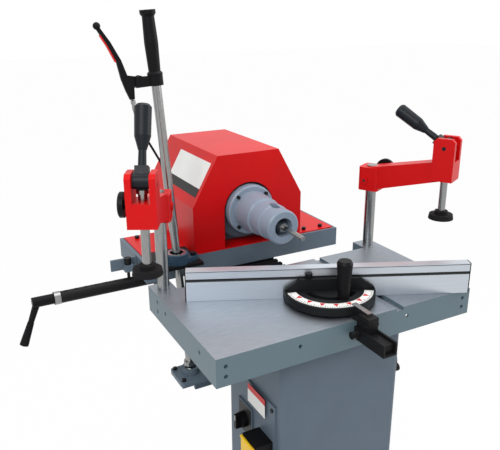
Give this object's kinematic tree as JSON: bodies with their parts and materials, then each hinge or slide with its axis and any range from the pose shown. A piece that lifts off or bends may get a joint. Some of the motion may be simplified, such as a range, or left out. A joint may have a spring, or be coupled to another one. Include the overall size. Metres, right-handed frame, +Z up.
{
  "type": "horizontal slot mortiser",
  "caption": "Pedestal slot mortiser with a clamping table, mitre fence and a hooded motor head on cross slides moved by a single hand lever.",
  "frame": {"origin": "on the floor, under the centre of the pedestal", "axes": "+X along the table to the operator's right, +Y from the operator to the motor head, +Z up"},
  "size_m": [1.0343, 0.899, 1.435],
  "materials": {
    "red_paint": "gloss red paint",
    "blue_grey_paint": "satin blue-grey paint",
    "table_iron": "ground top, painted skirt",
    "motor_iron": "painted casting",
    "steel": "turned steel",
    "black_steel": "blackened",
    "black_plastic": "moulded, satin",
    "black_alloy": "black paint",
    "black_rubber": "matt",
    "bare_alloy": "anodised extrusion",
    "nose_alloy": "turned casting",
    "blue_iron": "painted casting",
    "yellow_plastic": "moulded",
    "red_plastic": "moulded"
  },
  "bodies": {
    "base": {"base_plinth": "blue_grey_paint", "cabinet": "blue_grey_paint", "control_panel": "blue_grey_paint", "switch_box": "black_plastic", "head_beam": "blue_grey_paint", "y_rails": "steel", "lever_bracket": "blue_grey_paint", "foot_unit": "blue_grey_paint"},
    "lift_screw": {"lift_screw": "steel"},
    "handwheel": {"handwheel": "black_plastic"},
    "selector": {"selector_knob": "black_plastic"},
    "flap": {"switch_flap": "yellow_plastic"},
    "stop": {"stop_button": "red_plastic"},
    "table": {"table_top": "table_iron", "guide_posts": "steel", "gauge_channel": "black_steel"},
    "gauge": {"gauge_slide": "black_steel"},
    "gauge_head": {"protractor": "black_alloy", "fence": "bare_alloy"},
    "lock_handle": {"lock_handle": "black_plastic"},
    "saddle": {"saddle": "blue_grey_paint", "way_cover": "black_rubber", "x_rails": "steel", "index_bracket": "blue_grey_paint"},
    "index": {"index_bar": "black_steel", "index_lever": "black_plastic"},
    "head": {"head_plate": "blue_grey_paint", "x_blocks": "steel", "hood_base": "red_paint", "hood": "red_paint", "motor": "motor_iron", "nose": "nose_alloy", "spindle_bearings": "steel", "head_bolts": "black_steel", "bearing_bracket": "black_steel", "bearing_unit": "blue_iron", "bearing_insert": "steel", "plunger_bracket": "blue_grey_paint"},
    "index_plunger": {"index_plunger": "black_steel"},
    "spindle": {"spindle": "steel", "chuck": "steel", "bit": "steel"},
    "gimbal": {"gimbal_ball": "steel"},
    "lever": {"lever_rod": "steel", "hand_grip": "black_plastic", "brake_perch": "black_plastic", "brake_cable": "black_rubber"},
    "brake": {"brake_blade": "black_steel"},
    "column_left": {"column_left": "steel"},
    "arm_left": {"arm_left": "red_paint"},
    "knob_left": {"knob_left": "black_plastic"},
    "cam_left": {"cam_left": "black_plastic"},
    "plunger_left": {"plunger_left": "steel", "pad_left": "black_rubber"},
    "column_right": {"column_right": "steel"},
    "arm_right": {"arm_right": "red_paint"},
    "knob_right": {"knob_right": "black_plastic"},
    "cam_right": {"cam_right": "black_plastic"},
    "plunger_right": {"plunger_right": "steel", "pad_right": "black_rubber"}
  },
  "joints": [
    {"name": "table_height", "type": "slide", "parent": "base", "child": "table", "axis": [0, 0, 1], "range_m": [-0.04, 0]},
    {"name": "screw_turn", "type": "hinge", "parent": "base", "child": "lift_screw", "pos_m": [0, 0, 0.6], "axis": [0, 0, 1], "range_deg": [0, 720]},
    {"name": "handwheel_turn", "type": "hinge", "parent": "base", "child": "handwheel", "pos_m": [0.2, 0, 0.606], "axis": [1, 0, 0], "range_deg": [0, 720]},
    {"name": "selector_turn", "type": "hinge", "parent": "base", "child": "selector", "pos_m": [-0.1675, 0.027, 0.514], "axis": [-1, 0, 0], "range_deg": [0, 90]},
    {"name": "flap_open", "type": "hinge", "parent": "base", "child": "flap", "pos_m": [-0.2105, -0.064, 0.524], "axis": [0, 1, 0], "range_deg": [0, 100]},
    {"name": "stop_press", "type": "slide", "parent": "base", "child": "stop", "axis": [1, 0, 0], "range_m": [0, 0.004], "stiffness_N_per_m": 600},
    {"name": "head_depth", "type": "slide", "parent": "base", "child": "saddle", "axis": [0, 1, 0], "range_m": [-0.08, 0]},
    {"name": "head_cross", "type": "slide", "parent": "saddle", "child": "head", "axis": [1, 0, 0], "range_m": [-0.005, 0.09]},
    {"name": "spindle_turn", "type": "hinge", "parent": "head", "child": "spindle", "pos_m": [0, 0.137, 0.932], "axis": [0, 1, 0], "continuous": true},
    {"name": "index_turn", "type": "hinge", "parent": "saddle", "child": "index", "pos_m": [-0.377, 0.379, 0.76], "axis": [1, 0, 0], "range_deg": [-90, 90]},
    {"name": "index_pull", "type": "slide", "parent": "head", "child": "index_plunger", "axis": [0, 0, 1], "range_m": [0, 0.008]},
    {"name": "lever_side", "type": "hinge", "parent": "base", "child": "gimbal", "pos_m": [-0.202, 0.277, 0.518], "axis": [0, 1, 0], "range_deg": [-2, 16]},
    {"name": "lever_fore", "type": "hinge", "parent": "gimbal", "child": "lever", "pos_m": [-0.202, 0.277, 0.518], "axis": [1, 0, 0], "range_deg": [-1, 15]},
    {"name": "brake_pull", "type": "hinge", "parent": "lever", "child": "brake", "pos_m": [-0.29383, 0.277, 1.28647], "axis": [0, 1, 0], "range_deg": [0, 12]},
    {"name": "arm_swing_left", "type": "hinge", "parent": "table", "child": "column_left", "pos_m": [-0.298, 0.1815, 0.9], "axis": [0, 0, 1], "range_deg": [-30, 20]},
    {"name": "arm_height_left", "type": "slide", "parent": "column_left", "child": "arm_left", "axis": [0, 0, 1], "range_m": [-0.015, 0.02]},
    {"name": "arm_lock_left", "type": "hinge", "parent": "arm_left", "child": "knob_left", "pos_m": [-0.38814, 0.01197, 1.084], "axis": [-0.8829, 0.4695, 0], "range_deg": [-180, 180]},
    {"name": "cam_turn_left", "type": "hinge", "parent": "arm_left", "child": "cam_left", "pos_m": [-0.38814, 0.01197, 1.124], "axis": [0.8829, -0.4695, 0], "range_deg": [0, 90]},
    {"name": "pad_press_left", "type": "slide", "parent": "arm_left", "child": "plunger_left", "axis": [0, 0, 1], "range_m": [-0.0062, 0]},
    {"name": "arm_swing_right", "type": "hinge", "parent": "table", "child": "column_right", "pos_m": [0.298, 0.1815, 0.9], "axis": [0, 0, 1], "range_deg": [-35, 35]},
    {"name": "arm_height_right", "type": "slide", "parent": "column_right", "child": "arm_right", "axis": [0, 0, 1], "range_m": [-0.02, 0.02]},
    {"name": "arm_lock_right", "type": "hinge", "parent": "arm_right", "child": "knob_right", "pos_m": [0.30833, 0.16207, 1.03], "axis": [-0.8829, -0.4695, 0], "range_deg": [-180, 180]},
    {"name": "cam_turn_right", "type": "hinge", "parent": "arm_right", "child": "cam_right", "pos_m": [0.38814, 0.01197, 1.113], "axis": [0.8829, 0.4695, 0], "range_deg": [0, 90]},
    {"name": "pad_press_right", "type": "slide", "parent": "arm_right", "child": "plunger_right", "axis": [0, 0, 1], "range_m": [-0.0062, 0]},
    {"name": "gauge_move", "type": "slide", "parent": "table", "child": "gauge", "axis": [0, 1, 0], "range_m": [-0.04, 0]},
    {"name": "gauge_swivel", "type": "hinge", "parent": "gauge", "child": "gauge_head", "pos_m": [0.011, -0.043, 0.83], "axis": [0, 0, 1], "range_deg": [-10, 45]},
    {"name": "gauge_lock", "type": "hinge", "parent": "gauge", "child": "lock_handle", "pos_m": [0.011, -0.097, 0.87], "axis": [0, 0, 1], "range_deg": [-90, 180]}
  ],
  "couplings": [
    {"joint": "screw_turn", "follows": "table_height", "rad_per_m": -314.16},
    {"joint": "handwheel_turn", "follows": "table_height", "rad_per_m": -314.16},
    {"joint": "lever_side", "follows": "head_cross", "rad_per_m": 2.905},
    {"joint": "lever_fore", "follows": "head_depth", "rad_per_m": -2.88},
    {"joint": "pad_press_left", "follows": "cam_turn_left", "m_per_rad": -0.0038197},
    {"joint": "pad_press_right", "follows": "cam_turn_right", "m_per_rad": -0.0038197}
  ]
}
